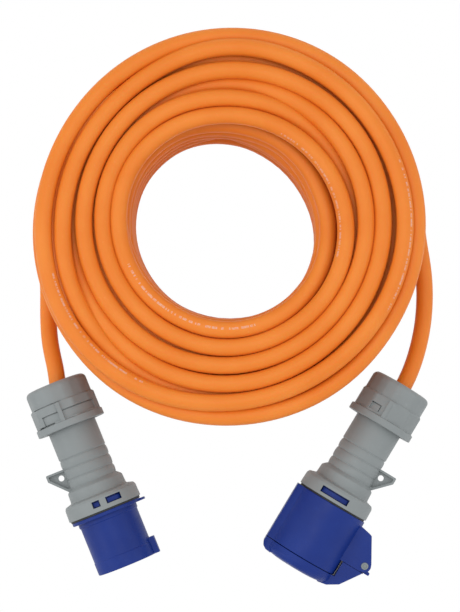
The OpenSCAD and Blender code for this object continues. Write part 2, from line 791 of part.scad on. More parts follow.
at_plug() color(gray) gland_nut();  // plug_nut
at_plug() color(dark_gray) clamp_cage();  // plug_cage
at_plug() color(rubber) gland_seal();  // plug_seal
at_plug() color(orange) sheath();  // plug_sheath
at_plug() color(gray) housing(plug_windows);  // plug_housing
at_plug() color(rubber) flange_gasket();  // plug_gasket
at_plug() plug_front();
at_plug() plug_carrier();
at_plug() contact_pin(pin_d, contact_angles[0]);  // plug_live_pin
at_plug() contact_pin(pin_d, contact_angles[1]);  // plug_neutral_pin
at_plug() contact_pin(earth_pin_d, contact_angles[2]);  // plug_earth_pin
at_plug() color(steel) terminal_screws();  // plug_screws
at_plug() color("#6b4226") core(contact_angles[0]);  // plug_live_core
at_plug() color("#3f78c0") core(contact_angles[1]);  // plug_neutral_core
at_plug() color("#9bb33a") core(contact_angles[2]);  // plug_earth_core

at_coupler() color(gray) gland_nut();  // coupler_nut
at_coupler() color(dark_gray) clamp_cage();  // coupler_cage
at_coupler() color(rubber) gland_seal();  // coupler_seal
at_coupler() color(orange) sheath();  // coupler_sheath
at_coupler() color(gray) housing(coupler_windows);  // coupler_housing
at_coupler() color(rubber) flange_gasket();  // coupler_gasket
at_coupler() coupler_shell();
at_coupler() coupler_carrier();
at_coupler() coupler_face();
at_coupler() socket(pin_d, contact_angles[0]);  // coupler_live_socket
at_coupler() socket(pin_d, contact_angles[1]);  // coupler_neutral_socket
at_coupler() socket(earth_pin_d, contact_angles[2]);  // coupler_earth_socket
at_coupler() coupler_clips();
at_coupler() color(steel) terminal_screws();  // coupler_screws
at_coupler() color("#6b4226") core(contact_angles[0]);  // coupler_live_core
at_coupler() color("#3f78c0") core(contact_angles[1]);  // coupler_neutral_core
at_coupler() color("#9bb33a") core(contact_angles[2]);  // coupler_earth_core
at_coupler() lid();
at_coupler() lid_gasket();
at_coupler() hinge_pin();
at_coupler() lid_spring();
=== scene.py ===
"""Looks of a coiled extension cord with a round industrial plug and a coupler with a hinged lid.
Metres, in the part's frame: X from plug to coupler, Y towards the coil, Z up. Pieces are drawn in millimetres
along their connector's own axis and then put in place, so every object's origin is the frame's."""
import math
import bpy
import numpy as np
from mathutils import Matrix
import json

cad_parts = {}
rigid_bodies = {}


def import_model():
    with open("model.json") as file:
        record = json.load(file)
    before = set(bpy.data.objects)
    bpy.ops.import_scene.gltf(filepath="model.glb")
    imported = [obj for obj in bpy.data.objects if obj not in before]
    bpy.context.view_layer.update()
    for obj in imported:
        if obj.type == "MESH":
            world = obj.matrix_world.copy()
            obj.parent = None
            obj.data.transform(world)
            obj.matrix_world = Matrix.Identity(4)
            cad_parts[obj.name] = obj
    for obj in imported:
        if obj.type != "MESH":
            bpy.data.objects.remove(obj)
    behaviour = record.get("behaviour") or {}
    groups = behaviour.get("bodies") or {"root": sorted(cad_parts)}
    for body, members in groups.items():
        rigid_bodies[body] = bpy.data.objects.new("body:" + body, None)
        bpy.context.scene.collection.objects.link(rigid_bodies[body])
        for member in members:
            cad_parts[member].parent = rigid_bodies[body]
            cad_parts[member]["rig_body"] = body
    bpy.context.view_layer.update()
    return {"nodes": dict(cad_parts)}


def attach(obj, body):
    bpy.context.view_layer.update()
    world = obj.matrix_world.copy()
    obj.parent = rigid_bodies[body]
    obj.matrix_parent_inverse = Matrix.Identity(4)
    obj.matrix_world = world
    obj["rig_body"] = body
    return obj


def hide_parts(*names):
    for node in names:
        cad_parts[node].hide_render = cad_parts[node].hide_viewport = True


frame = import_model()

scene = bpy.context.scene
MM = 0.001

# ---------------------------------------------------------------- camera

camera_data = bpy.data.cameras.new("camera")
camera_data.sensor_fit = "AUTO"
camera_data.sensor_width = 36.0
camera_data.lens = 113.6
camera_data.shift_x, camera_data.shift_y = -0.0643, 0.1804
camera_data.clip_start, camera_data.clip_end = 0.05, 10.0
camera = bpy.data.objects.new("camera", camera_data)
camera.location = (0.030, 0.044, 1.400)      # straight down over the connectors, with the view shifted to the coil
scene.collection.objects.link(camera)
scene.camera = camera

# ---------------------------------------------------------------- mesh building

def fillet(points, closed=True):
    """A polygon of (a, b) or (a, b, radius) points, with an arc of that radius at each such corner.
    Short extra edges beside each arc keep the shading of the flats clean."""
    out, n = [], len(points)
    for i, p in enumerate(points):
        c = np.array(p[:2], float)
        rad = p[2] if len(p) > 2 else 0.0
        if rad <= 0 or (not closed and i in (0, n - 1)):
            out.append(c)
            continue
        q = np.array(points[i - 1][:2], float) - c
        r = np.array(points[(i + 1) % n][:2], float) - c
        lq, lr = np.linalg.norm(q), np.linalg.norm(r)
        q, r = q / lq, r / lr
        bend = math.acos(max(-1, min(1, float(-q @ r))))
        if bend < 0.02:
            out.append(c)
            continue
        t = min(rad * math.tan(bend / 2), 0.46 * lq, 0.46 * lr)
        rad = t / math.tan(bend / 2)
        mid = q + r
        centre = c + mid / np.linalg.norm(mid) * rad / math.cos(bend / 2)
        a, b = c + q * t - centre, c + r * t - centre
        steps = max(2, int(math.ceil(math.degrees(bend) / 18)))
        for k in range(steps + 1):
            f = k / steps
            out.append(centre + (math.sin((1 - f) * bend) * a + math.sin(f * bend) * b) / math.sin(bend))
    return out


def lathe(points, seg=128, shape=None, closed=True):
    """Turned solid from an outline of (radius, z) or (radius, z, fillet). shape(r, z, angle) may change the radius."""
    line = np.array(fillet(points, closed))
    n = len(line)
    ang = np.linspace(0, 2 * math.pi, seg, endpoint=False)
    r = np.repeat(line[None, :, 0], seg, 0)
    z = np.repeat(line[None, :, 1], seg, 0)
    a = np.repeat(ang[:, None], n, 1)
    if shape:
        r = shape(r, z, a)
    verts = np.stack([r * np.cos(a), r * np.sin(a), z], -1).reshape(-1, 3)
    faces = []
    last = n if closed else n - 1
    for k in range(seg):
        k2 = (k + 1) % seg
        for i in range(last):
            j = (i + 1) % n
            faces.append((k * n + i, k2 * n + i, k2 * n + j, k * n + j))
    verts = [tuple(v) for v in verts]
    if not closed:                              # the outline starts and ends on the axis
        lo, hi = len(verts), len(verts) + 1
        verts += [(0, 0, line[0][1]), (0, 0, line[-1][1])]
        for k in range(seg):
            k2 = (k + 1) % seg
            faces.append((lo, k2 * n, k * n))
            faces.append((hi, k * n + n - 1, k2 * n + n - 1))
    return verts, faces


def prism(points, low, high, plane="xy"):
    """Straight solid over an outline. In plane "yz" it runs along X, in "xy" along Z."""
    line = fillet(points)
    n = len(line)
    put = (lambda p, h: (p[0], p[1], h)) if plane == "xy" else (lambda p, h: (h, p[0], p[1]))
    verts = [put(p, low) for p in line] + [put(p, high) for p in line]
    faces = [tuple(range(n))[::-1], tuple(range(n, 2 * n))]
    faces += [(i, (i + 1) % n, n + (i + 1) % n, n + i) for i in range(n)]
    return verts, faces


def block(x0, x1, y0, y1, z0, z1):
    return prism([(x0, y0), (x1, y0), (x1, y1), (x0, y1)], z0, z1)


def sector(r0, r1, a0, a1, z0, z1):
    """Part of a ring, between two angles."""
    a = np.radians(np.linspace(a0, a1, max(2, int(abs(a1 - a0) / 3) + 1)))
    line = [(r1 * math.cos(t), r1 * math.sin(t)) for t in a] + [(r0 * math.cos(t), r0 * math.sin(t)) for t in a[::-1]]
    return prism(line, z0, z1)


def rod(radius, z0, z1, seg=48):
    return lathe([(0.0001, z0), (radius, z0), (radius, z1), (0.0001, z1)], seg)


def moved(shape, dx=0, dy=0, turn=0, matrix=None):
    """A shape moved and then turned about Z by that many degrees, or placed by a matrix."""
    verts, faces = shape
    m = matrix or (Matrix.Rotation(math.radians(turn), 4, "Z") @ Matrix.Translation((dx, dy, 0)))
    m = np.array(m)
    v = np.array(verts) @ m[:3, :3].T + m[:3, 3]
    return [tuple(p) for p in v], faces


def new_object(name, shape):
    mesh = bpy.data.meshes.new(name)
    mesh.from_pydata(shape[0], [], shape[1])
    mesh.update()
    mesh.validate()
    obj = bpy.data.objects.new(name, mesh)
    scene.collection.objects.link(obj)
    return obj


def bake(obj):
    """Puts the result of the object's modifiers in its mesh."""
    graph = bpy.context.evaluated_depsgraph_get()
    made = bpy.data.meshes.new_from_object(obj.evaluated_get(graph))
    obj.modifiers.clear()
    old, obj.data = obj.data, made
    bpy.data.meshes.remove(old)
    return obj


def outward(obj):
    """Turns the faces outward, which the sign of the enclosed volume tells."""
    mesh = obj.data
    mesh.calc_loop_triangles()
    v = np.array([p.co[:] for p in mesh.vertices])
    t = np.array([x.vertices[:] for x in mesh.loop_triangles])
    if np.einsum("ij,ij->i", v[t[:, 0]], np.cross(v[t[:, 1]], v[t[:, 2]])).sum() < 0:
        mesh.flip_normals()
    return obj


def combine(base, parts, how):
    """Adds or cuts shapes one by one."""
    for shape in parts:
        tool = outward(new_object("tool", shape))
        mod = base.modifiers.new("cut", "BOOLEAN")
        mod.operation, mod.object, mod.solver = how, tool, "EXACT"
        bake(base)
        bpy.data.objects.remove(tool)
    return base


def solid_of(obj):
    """Takes an object apart again, as a shape for a later boolean."""
    shape = ([v.co[:] for v in obj.data.vertices], [tuple(p.vertices) for p in obj.data.polygons])
    bpy.data.objects.remove(obj)
    return shape


def build(name, shape, joins=(), cuts=(), later=(), bores=(), bevel=0.0, angle=38):
    """One closed solid: a base, shapes joined to it, shapes cut from it, shapes joined later, and bores through all."""
    obj = outward(new_object(name, shape))
    combine(obj, joins, "UNION")
    combine(obj, cuts, "DIFFERENCE")
    combine(obj, later, "UNION")
    combine(obj, bores, "DIFFERENCE")
    if bevel:
        mod = obj.modifiers.new("edge", "BEVEL")
        mod.width, mod.segments = bevel, 2
        mod.limit_method, mod.angle_limit = "ANGLE", math.radians(angle)
        bake(obj)
    return obj


AXIS_UP = 27                                 # mm from the floor to both connectors' axes


def at(x, y, turn, side):
    """Places millimetres along a connector's own axes into the frame. side is 1 for the plug, -1 for the coupler."""
    t = math.radians(turn)
    ax = (0, 0, side)
    ay = (-side * math.cos(t), -math.sin(t), 0)
    az = (side * math.sin(t), -math.cos(t), 0)
    m = Matrix(((ax[0], ay[0], az[0], x), (ax[1], ay[1], az[1], y), (ax[2], ay[2], az[2], AXIS_UP), (0, 0, 0, 1)))
    return Matrix.Scale(MM, 4) @ m


PLUG = at(-123, 68, 22, 1)
COUPLER = at(125, 66.5, 31, -1)


def put(obj, place, material, body, nodes, slot):
    """Stores the connector's own millimetres for the materials, moves the mesh into place and hands it to the frame."""
    obj.name = nodes[0] + "_part"
    mesh = obj.data
    co = np.empty(len(mesh.vertices) * 3, np.float32)
    mesh.vertices.foreach_get("co", co)
    own = mesh.attributes.new("own_mm", "FLOAT_VECTOR", "POINT")
    own.data.foreach_set("vector", co)
    mesh.transform(place)
    mesh.shade_smooth()
    mesh.set_sharp_from_angle(angle=math.radians(40))
    mesh.materials.clear()
    mesh.materials.append(material)
    normals = obj.modifiers.new("normals", "WEIGHTED_NORMAL")
    normals.keep_sharp = True
    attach(obj, body)
    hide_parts(*nodes)


def tube(path, radius, sides, name, up=(0, 0, 1), twist=None):
    """A round bar along a path of points, closed at both ends, with its length and turn stored for the material."""
    p = np.array(path, float)
    n = len(p)
    t = np.gradient(p, axis=0)
    t /= np.linalg.norm(t, axis=1)[:, None]
    side = np.cross(t, np.array(up, float))
    side /= np.linalg.norm(side, axis=1)[:, None]
    top = np.cross(side, t)
    a = np.linspace(0, 2 * math.pi, sides, endpoint=False)
    ring = radius * (np.cos(a)[None, :, None] * side[:, None, :] + np.sin(a)[None, :, None] * top[:, None, :])
    verts = (p[:, None, :] + ring).reshape(-1, 3)
    i, k = np.meshgrid(np.arange(n - 1), np.arange(sides), indexing="ij")
    k2 = (k + 1) % sides
    quads = np.stack([i * sides + k, i * sides + k2, (i + 1) * sides + k2, (i + 1) * sides + k], -1).reshape(-1, 4)
    faces = [tuple(q) for q in quads.tolist()]
    faces += [tuple(range(sides))[::-1], tuple(range((n - 1) * sides, n * sides))]
    obj = outward(new_object(name, (verts.tolist(), faces)))
    run = np.concatenate([[0], np.cumsum(np.linalg.norm(np.diff(p, axis=0), axis=1))])
    along = obj.data.attributes.new("along", "FLOAT", "POINT")
    along.data.foreach_set("value", np.repeat(run, sides).astype(np.float32))
    # height on the cord, 1 on its top line and -1 underneath, smooth all round
    for key, values in (("upness", np.sin(a)), ("sideness", np.cos(a))):
        field = obj.data.attributes.new(key, "FLOAT", "POINT")
        field.data.foreach_set("value", np.tile(values, n).astype(np.float32))
    if twist is not None:
        field = obj.data.attributes.new("twist", "FLOAT", "POINT")
        field.data.foreach_set("value", np.repeat(twist(run), sides).astype(np.float32))
    return obj


# ---------------------------------------------------------------- materials

def rgb(code):
    """Linear colour from an sRGB hex code."""
    c = [int(code[i:i + 2], 16) / 255 for i in (1, 3, 5)]
    return [x / 12.92 if x <= 0.04045 else ((x + 0.055) / 1.055) ** 2.4 for x in c] + [1.0]


def add(tree, kind, settings=None, links=None, **props):
    """Adds a node, sets its properties and unlinked inputs, and links its inputs."""
    node = tree.nodes.new(kind)
    for key, value in props.items():
        setattr(node, key, value)
    for key, value in (settings or {}).items():
        node.inputs[key].default_value = value
    for key, source in (links or {}).items():
        tree.links.new(source, node.inputs[key])
    return node


def start(name):
    mat = bpy.data.materials.new(name)
    mat.use_nodes = True
    tree = mat.node_tree
    tree.nodes.clear()
    return mat, tree


def finish_material(tree, bsdf):
    out = add(tree, "ShaderNodeOutputMaterial")
    tree.links.new(bsdf.outputs[0], out.inputs["Surface"])


def noise(tree, coords, scale, detail=3.0, rough=0.5):
    return add(tree, "ShaderNodeTexNoise", {"Scale": scale, "Detail": detail, "Roughness": rough},
               {"Vector": coords}).outputs["Fac"]


def remap(tree, source, low, high, to_low=0.0, to_high=1.0):
    return add(tree, "ShaderNodeMapRange", {"From Min": low, "From Max": high, "To Min": to_low, "To Max": to_high},
               {"Value": source}).outputs[0]


def feed(tree, node, index, value):
    """Links a socket to a node's input, or sets a plain value there."""
    if hasattr(value, "links"):
        tree.links.new(value, node.inputs[index])
    else:
        node.inputs[index].default_value = value


def mix(tree, factor, a, b):
    """Colour mix. a and b are colours or sockets."""
    node = add(tree, "ShaderNodeMix", data_type="RGBA")
    for index, value in ((0, factor), (6, a), (7, b)):
        feed(tree, node, index, value)
    return node.outputs[2]


def math_node(tree, how, a, b=None):
    node = add(tree, "ShaderNodeMath", operation=how)
    feed(tree, node, 0, a)
    if b is not None:
        feed(tree, node, 1, b)
    return node.outputs[0]


def bump(tree, height, distance, strength=1.0, normal=None):
    links = {"Height": height}
    if normal is not None:
        links["Normal"] = normal
    return add(tree, "ShaderNodeBump", {"Strength": strength, "Distance": distance}, links).outputs["Normal"]


def plastic(name, code, light, dark, roughness, shine=0.5, grain=0.00003):
    """Moulded nylon: a fine spark-eroded grain, faint flow clouds, and a light rub on the surface."""
    mat, tree = start(name)
    where = add(tree, "ShaderNodeTexCoord").outputs["Object"]
    clouds = remap(tree, noise(tree, where, 38, 3), 0.35, 0.65)          # 26 mm clouds of pigment
    base = mix(tree, clouds, rgb(dark), rgb(code))
    rub = remap(tree, noise(tree, where, 260, 5, 0.65), 0.60, 0.78, 0.0, 0.35)   # 4 mm paler scuffs
    base = mix(tree, rub, base, rgb(light))
    fine = noise(tree, where, 2400, 2)                                   # 0.4 mm mould grain
    soft = noise(tree, where, 120, 2)                                    # 8 mm sink waves
    normal = bump(tree, fine, grain)
    normal = bump(tree, soft, 0.00012, 0.6, normal)
    rough = remap(tree, noise(tree, where, 90, 3), 0.3, 0.7, roughness - 0.05, roughness + 0.07)
    bsdf = add(tree, "ShaderNodeBsdfPrincipled", {"IOR": 1.53, "Specular IOR Level": shine},
               {"Base Color": base, "Roughness": rough, "Normal": normal})
    finish_material(tree, bsdf)
    return mat


# The jacket's marks: pale dashes in rows that start every 293 mm of cord and are 105 mm long
ROW_EVERY, ROW_LONG = 0.293, 0.105
CELLS, BARE_SHARE = 1100, 0.38               # cells in a metre of cord, and the share of them without a dash
DASH_HALF = 0.13                             # half a dash's height, in radians round the cord: 1.6 mm in all


def jacket(name, first):
    """Polyurethane cord jacket: matt, faintly grained, a little rubbed, with a row of small white length marks."""
    mat, tree = start(name)
    where = add(tree, "ShaderNodeTexCoord").outputs["Object"]
    along = add(tree, "ShaderNodeAttribute", attribute_name="along").outputs["Fac"]
    up = add(tree, "ShaderNodeAttribute", attribute_name="upness").outputs["Fac"]
    side = add(tree, "ShaderNodeAttribute", attribute_name="sideness").outputs["Fac"]
    clouds = remap(tree, noise(tree, where, 22, 3), 0.35, 0.65)          # 45 mm drift of the dye
    base = mix(tree, clouds, rgb("#e37c25"), rgb("#e7842e"))
    rub = remap(tree, noise(tree, where, 420, 5, 0.7), 0.60, 0.80, 0.0, 0.30)    # 2 mm pale rub marks
    base = mix(tree, rub, base, rgb("#eb9b63"))
    # the dashes: how far round the cord, in which row, and which cells carry one
    twist = add(tree, "ShaderNodeAttribute", attribute_name="twist").outputs["Fac"]
    away = math_node(tree, "ABSOLUTE", math_node(tree, "SUBTRACT", math_node(tree, "ARCTAN2", side, up), twist))
    high = math_node(tree, "LESS_THAN", away, DASH_HALF)
    own = math_node(tree, "SUBTRACT", along, first)
    in_row = math_node(tree, "LESS_THAN", math_node(tree, "FLOORED_MODULO", own, ROW_EVERY), ROW_LONG)
    cell = math_node(tree, "FLOOR", math_node(tree, "MULTIPLY", own, CELLS))
    chance = add(tree, "ShaderNodeTexWhiteNoise", {}, {"W": cell}, noise_dimensions="1D").outputs["Value"]
    dash = math_node(tree, "GREATER_THAN", chance, BARE_SHARE)
    worn = remap(tree, noise(tree, where, 900, 3), 0.35, 0.6, 0.15, 0.5)         # 1 mm wear of the print
    printed = math_node(tree, "MULTIPLY", high, in_row)
    mark = math_node(tree, "MULTIPLY", printed, math_node(tree, "MULTIPLY", dash, worn))
    base = mix(tree, mark, base, rgb("#dcc3bd"))
    fine = noise(tree, where, 1900, 2)                                   # 0.5 mm extruded grain
    wave = noise(tree, where, 70, 2)                                     # 14 mm unevenness from the cores beneath
    normal = bump(tree, fine, 0.00003)
    normal = bump(tree, wave, 0.0003, 0.7, normal)
    bsdf = add(tree, "ShaderNodeBsdfPrincipled",
               {"IOR": 1.49, "Roughness": 0.5, "Specular IOR Level": 0.28,
                "Subsurface Weight": 0.15, "Subsurface Radius": (1.0, 0.15, 0.03), "Subsurface Scale": 0.003},
               {"Base Color": base, "Normal": normal})
    finish_material(tree, bsdf)
    return mat


def rubber(name):
    """Moulded black rubber: nearly matt, with a dusty bloom."""
    mat, tree = start(name)
    where = add(tree, "ShaderNodeTexCoord").outputs["Object"]
    bloom = remap(tree, noise(tree, where, 300, 4), 0.45, 0.75, 0.0, 0.5)
    base = mix(tree, bloom, rgb("#1b1b1c"), rgb("#3a3a3b"))
    normal = bump(tree, noise(tree, where, 1500, 2), 0.00003)
    bsdf = add(tree, "ShaderNodeBsdfPrincipled", {"IOR": 1.52, "Roughness": 0.68},
               {"Base Color": base, "Normal": normal})
    finish_material(tree, bsdf)
    return mat


def metal(name, code, dull, roughness):
    """Turned metal: fine rings across the axis and a slightly dulled film."""
    mat, tree = start(name)
    own = add(tree, "ShaderNodeAttribute", attribute_name="own_mm").outputs["Vector"]
    where = add(tree, "ShaderNodeTexCoord").outputs["Object"]
    film = remap(tree, noise(tree, where, 200, 4), 0.4, 0.7)
    base = mix(tree, film, rgb(code), rgb(dull))
    stretch = add(tree, "ShaderNodeMapping", {"Scale": (0.4, 0.4, 9.0)}, {"Vector": own}).outputs[0]
    rings = noise(tree, stretch, 1.0, 3)                                 # 0.1 mm tool marks
    normal = bump(tree, rings, 0.00001, 0.5)
    rough = remap(tree, rings, 0.3, 0.7, roughness - 0.05, roughness + 0.06)
    bsdf = add(tree, "ShaderNodeBsdfPrincipled", {"Metallic": 1.0, "IOR": 2.5},
               {"Base Color": base, "Roughness": rough, "Normal": normal})
    finish_material(tree, bsdf)
    return mat


GRAY = plastic("nylon_gray", "#868b8b", "#969b9b", "#818686", 0.52, 0.4)
BLUE = plastic("nylon_blue", "#0c2c7c", "#1b3d8d", "#0a2875", 0.46, 0.24)
DARK = plastic("nylon_dark", "#5a5d5f", "#6c6f70", "#545758", 0.50)
BLACK = rubber("rubber_black")
BRASS = metal("brass_nickelled", "#c9b68a", "#b09d70", 0.24)
STEEL = metal("steel_zinc", "#a9adb0", "#8f9396", 0.34)
RIVET = plastic("nylon_rivet", "#7b8284", "#8f9597", "#747b7d", 0.45)
BROWN = plastic("core_brown", "#6b4226", "#80573a", "#633b21", 0.40)
SKY = plastic("core_blue", "#3f78c0", "#5b8ccb", "#3a70b6", 0.40)
LIME = plastic("core_green", "#9bb33a", "#aebf5c", "#93aa35", 0.40)

# ---------------------------------------------------------------- the cord's path

CORD_MM = 12.0
COIL_X, COIL_Y = 1.7, 175.5
STEP = 2.5                                   # degrees between stations round the coil
ROUND = 144                                  # stations in a turn
COIL_TURNS = 38
COIL_FIRST, COIL_SHORT = 262.5, 170          # angle of the first station, and what the last turn lacks of a whole one
TOP_SPAN, TOP_FIRST = 3062.5, -90            # degrees that the top layer goes through, and where it starts
SETTLE_ROUNDS = 500                          # rounds of sinking and pushing apart

# Radius of the cord in the top layer, at every 30 degrees clockwise from the far side. The first turn starts at 270.
TOP_R = [
    [74.3, 76.6, 75.8, 71.2, 69.2, 67.8, 68.5, 70.4, 71.4, 72, 71.9, 73.2, 74.7, 76.7, 76],
    [74.6, 75.2, 77.4, 80.5, 82.5, 83.1, 84.3, 84.1, 84.3, 85.6, 87.5, 88.1],
    [86.5, 86.7, 86.8, 88.3, 90, 89.6, 90, 90.6, 91, 92.6, 95, 96.8],
    [97, 96.2, 95.3, 94.6, 94.2, 95, 96.6, 97.7, 97.9, 98.7, 99.9, 102.5],
    [105.8, 107.1, 107.5, 106.1, 105.9, 107, 109.4, 109.3, 107.4, 107.8, 109.6, 112.9],
    [115.2, 115.6, 115.5, 114.7, 114.4, 114.8, 116.4, 117.8, 116.2, 113.1, 112.8, 115.1],
    [121.5, 121.1, 120.6, 121.2, 119.8, 119.4, 121.8, 126.5, 128.4, 126.4, 125.6, 126.9],
    [129.8, 130.8, 130.2, 130.1, 129.5, 131.2, 131.8, 132.6, 132, 133, 134, 137],
    [139, 139, 136.5, 134.6, 144]]
# How high it starts out there: 1 lies on top, 0 one cord lower, and the last turn goes down to the floor.
TOP_Z = [
    [-1.1, -1, -.9, -.7, -.5, -.25, 0, .4, .8, 1, 1, 1, 1, 1, 1],
    [1] * 12,
    [1, .6, .3, -.2, -.3, -.3, 0, .25, .25, .15, 0, .2],
    [.4, .75] + [1] * 10,
    [1] * 7 + [.9, .5, 0, 0, 0],
    [.1, -.2, -.5, -.6, -.4, .1, .2, .4, .8, 1, 1, 1],
    [1] * 12,
    [.5, .5, .4, .3, .4, .5, .5, .1, -1.2, -2.6, -3.8, -4.8],
    [-5] * 5]
# Least radius of the turns underneath, which leaves the hole uneven, at every 30 degrees
HOLE_R = [70.0, 65.8, 63.9, 66.6, 67.3, 67, 66.6, 67.7, 70, 73.5, 76, 75, 70.4]
TOP_MIDDLE = 77.0                            # height of the top layer's centreline


def between(x, first, gap, values):
    """Smooth curve through evenly spaced values."""
    y = np.array(values, float)
    t = np.clip((x - first) / gap, 0, len(y) - 1.000001)
    i = t.astype(int)
    f = t - i
    a, b, c, d = (y[np.clip(i + k, 0, len(y) - 1)] for k in (-1, 0, 1, 2))
    return b + 0.5 * f * (c - a + f * (2 * a - 5 * b + 4 * c - d + f * (3 * (b - c) + d - a)))


def wind(turns, rounds):
    """The coil's centreline: the angle at each station, and the radius and height there.
    The top layer lies as given. The turns beneath start from plain layers, sink, and push each other apart."""
    count = int(round((360 * turns - COIL_SHORT) / STEP)) + 1
    w = COIL_FIRST + STEP * np.arange(count)
    top_start = w[-1] - TOP_SPAN
    top = w >= top_start
    u = (w - w[0]) / 360
    r_in = np.interp(w % 360, 30 * np.arange(13), HOLE_R) + 0.6
    r_out = 126 + 1.5 * (1 + np.cos(np.radians(w)))                     # 3 mm wider at the far side
    pitch, rise, wide = 12.3, 10.5, 57.5     # from turn to turn, from layer to layer, and a layer's width
    across, hold = wide / pitch, 0.9         # turns in a layer, and turns that climb to the next
    layer = np.floor(u / (across + hold))
    part = u - layer * (across + hold)
    s = np.clip(part / across, 0, 1)
    r = np.where(layer % 2 == 0, r_out - (r_out - r_in) * s, r_in + (r_out - r_in) * s)
    z = CORD_MM / 2 + rise * (layer + np.clip((part - across) / hold, 0, 1))
    for size, often, shift in ((1.2, 1.37, 1.0), (0.9, 2.21, 2.5), (0.6, 3.3, 0.4)):
        r = r + size * np.sin(np.radians(w) * often + shift)
    fade, entry = np.clip(1 - u / 0.16, 0, 1), 134.8                    # the cord comes in from the plug, farther out
    r = r + (entry - r) * fade * fade * (3 - 2 * fade)
    own = w[top] - top_start + TOP_FIRST
    r[top] = between(own, TOP_FIRST, 30, [v for t in TOP_R for v in t])
    lift = between(own, TOP_FIRST, 30, [v for t in TOP_Z for v in t])
    z[top] = np.maximum(TOP_MIDDLE + CORD_MM * (lift - 1), 6)

    first = int(round(w[0] % 360 / STEP))
    rows = math.ceil((count + first) / ROUND)
    R, Z = np.full(rows * ROUND, 1e4), np.zeros(rows * ROUND)
    used = np.zeros(rows * ROUND, bool)
    span = slice(first, first + count)
    R[span], Z[span], used[span] = r, z, True
    R[~used] += 100 * (np.arange(rows * ROUND)[~used] // ROUND)
    held = np.zeros_like(used)               # stations that keep their radius
    held[span] = top
    held[first:first + 24] = True
    low = np.zeros_like(used)                # stations that stay on the floor, at both ends
    low[first:first + 10] = True
    low[first + count - 60:first + count] = True
    home, home_z = R.copy(), Z.copy()
    laid = np.zeros_like(used)
    laid[span] = top
    way_round = STEP * np.arange(rows * ROUND)
    least = np.interp(way_round % 360, 30 * np.arange(13), HOLE_R)
    lean = 2.8 * np.clip(-np.cos(np.radians(way_round)), 0, 1)
    low_most = np.interp(way_round % 360, (0, 30, 60, 90, 105, 290, 330, 360),
                         (126.5, 126.5, 124, 122.2, 127.5, 127.5, 125, 126.5))
    one, two = np.triu_indices(rows, 1)

    def eased(x, width, amount):
        kernel = np.hanning(width)[1:-1]
        kernel /= kernel.sum()
        line = x[span]
        return line + amount * (np.convolve(np.pad(line, len(kernel) // 2, "edge"), kernel, "valid") - line)

    for k in range(rounds):
        A, B, fixed = R.reshape(rows, ROUND), Z.reshape(rows, ROUND), held.reshape(rows, ROUND)
        for _ in range(2):
            dr, dz = A[one] - A[two], B[one] - B[two]
            d = np.sqrt(dr * dr + dz * dz) + 1e-6
            push = np.maximum(CORD_MM + 0.15 - d, 0) * 0.4 / d
            mr, mz = np.zeros_like(A), np.zeros_like(B)
            np.add.at(mr, one, push * dr)
            np.add.at(mr, two, -push * dr)
            np.add.at(mz, one, push * dz)
            np.add.at(mz, two, -push * dz)
            A += np.where(fixed, 0, mr)
            B += mz
        R, Z = A.reshape(-1), B.reshape(-1)
        Z[span] -= (0.25 if k < rounds * 0.6 else 0.05) * ~low[span]
        inner, outer = least + lean * np.clip(Z / 60, 0, 1), np.where(Z < 20, low_most, 128)
        R = np.where(used & ~held, np.clip(R, inner, outer), R)
        width, amount = (25, 0.35) if k < rounds * 0.85 else (15, 0.2)
        Z[span] = eased(Z, width, amount)
        R[span] = eased(R, width, amount)
        R = np.where(held, home, R)
        Z = np.where(laid, home_z, np.where(low, 6.0, np.maximum(Z, 6.0)))
    return w, R[span], Z[span]


def spline(points, gap):
    """A smooth curve that follows its points closely, sampled about every gap."""
    p = np.array(points, float)
    p = np.concatenate([[2 * p[0] - p[1]], p, [2 * p[-1] - p[-2]]])
    out = []
    for i in range(1, len(p) - 2):
        n = max(1, int(round(np.linalg.norm(p[i + 1] - p[i]) / gap)))
        t = np.arange(n)[:, None] / n
        out.append(((1 - t) ** 3 * p[i - 1] + (3 * t ** 3 - 6 * t ** 2 + 4) * p[i]
                    + (-3 * t ** 3 + 3 * t ** 2 + 3 * t + 1) * p[i + 1] + t ** 3 * p[i + 2]) / 6)
    return np.concatenate(out + [[p[-2]]])


def way(place, z, across=0.0):
    """A point in a connector, in the frame's millimetres."""
    return np.array(place @ Matrix.Translation((0, across, z)).translation) / MM


angle, radius, height = wind(COIL_TURNS, SETTLE_ROUNDS)
turn = np.radians(angle)
DRAWN_IN = 0.7                               # what the smoothing below takes off the radius
radius = radius + DRAWN_IN
coil = np.stack([COIL_X + radius * np.sin(turn), COIL_Y + radius * np.cos(turn), height], 1)
plug_tail = [way(PLUG, 45), way(PLUG, 34), way(PLUG, 24), way(PLUG, 15), way(PLUG, 8, -0.3), way(PLUG, 3, -1.3),
             way(PLUG, -2, -3.0), (-121.5, 75.7, 25.4), (-123.3, 81.6, 23.4), (-125.2, 89, 20), (-126.9, 95.5, 17),
             (-128.2, 103, 13.2), (-129, 112, 9.6), (-129.4, 121, 7.3), (-129.4, 131, 6.2), (-129.2, 141.5, 6)]
coupler_tail = [(138.5, 164.5, 6), (139.9, 158.7, 6), (140.7, 152.9, 6), (141.5, 147, 6), (142, 141.4, 6),
                (142.2, 129, 6.2), (141.6, 118.5, 7.2), (140.1, 107, 10.2), (137.3, 95, 14.6), (133.6, 83.4, 19.8),
                (130.3, 74.8, 23.6), way(COUPLER, 2, 1.0), way(COUPLER, 8, 0.6), way(COUPLER, 15, 0.2),
                way(COUPLER, 24), way(COUPLER, 34), way(COUPLER, 45)]
smooth_coil = spline(coil[::3], 6.0)
lead_in = spline(plug_tail + [tuple(p) for p in coil[0:7:3]], 4.0)
lead_out = spline([tuple(p) for p in coil[-7::3]] + coupler_tail, 4.0)
